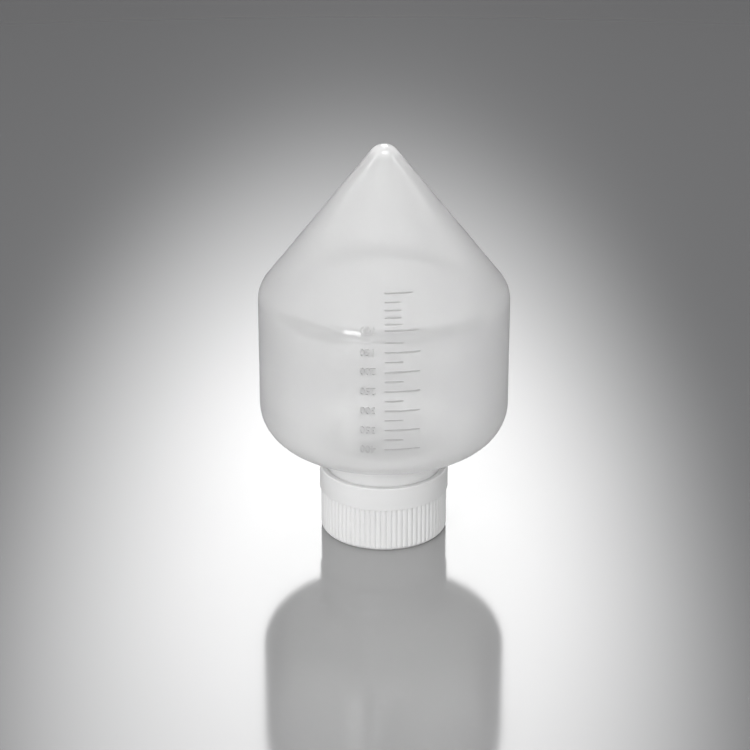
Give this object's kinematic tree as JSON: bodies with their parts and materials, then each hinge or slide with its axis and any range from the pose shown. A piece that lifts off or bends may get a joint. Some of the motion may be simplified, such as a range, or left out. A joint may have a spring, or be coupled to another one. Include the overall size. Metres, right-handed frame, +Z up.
{
  "type": "conical-bottom centrifuge bottle",
  "caption": "Wide translucent centrifuge bottle with a conical bottom and moulded graduations, stood upside down on its ribbed white plug-seal screw cap.",
  "frame": {"origin": "centre of the cap's flat face, on the surface that the bottle stands on upside down", "axes": "+Z up along the bottle's axis, from the cap towards the tip of the cone; -Y is the side with the graduations"},
  "size_m": [0.095, 0.0952, 0.1556],
  "materials": {
    "milky_polypropylene": "translucent milky polypropylene, smooth satin moulded surface",
    "white_cap": "opaque white moulded plastic, satin gloss"
  },
  "bodies": {
    "cap": {"cap": "white_cap"},
    "bottle": {"bottle": "milky_polypropylene"}
  },
  "joints": [
    {"name": "bottle_lift", "type": "slide", "parent": "cap", "child": "bottle", "axis": [0, 0, 1], "range_m": [0, 0.05]}
  ]
}
